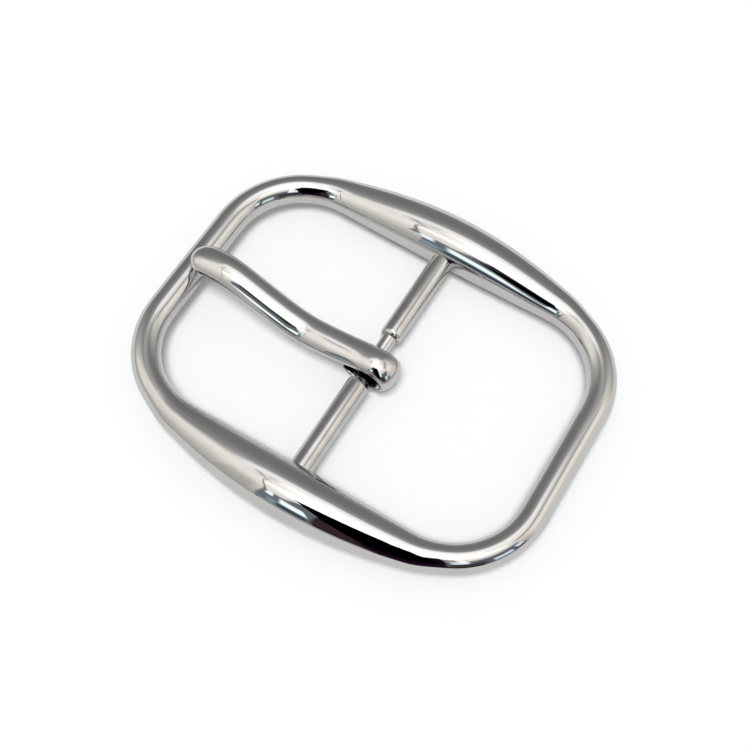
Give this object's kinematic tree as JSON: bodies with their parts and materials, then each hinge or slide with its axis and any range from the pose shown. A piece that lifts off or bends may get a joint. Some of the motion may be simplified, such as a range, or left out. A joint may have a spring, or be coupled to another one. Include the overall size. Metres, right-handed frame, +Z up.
{
  "type": "belt buckle",
  "caption": "Centre-bar belt buckle: a swollen oval ring, a necked bar across its middle and a curved prong that swings on the neck.",
  "frame": {"origin": "under the middle of the buckle, on the surface that it lies on", "axes": "+X along the belt, away from the prong's tip; +Y along the centre bar; +Z up, out of the face side"},
  "size_m": [0.0674, 0.0562, 0.0091],
  "materials": {
    "polished_ring": "mirror-polished nickel plate",
    "polished_bar": "mirror-polished nickel plate",
    "polished_prong": "mirror-polished nickel plate"
  },
  "bodies": {
    "frame": {"frame": "polished_ring", "centre_bar": "polished_bar"},
    "prong": {"prong": "polished_prong"}
  },
  "joints": [
    {"name": "prong_swing", "type": "hinge", "parent": "frame", "child": "prong", "pos_m": [0, 0, 0.00346], "axis": [0, 1, 0], "range_deg": [0, 165]}
  ]
}
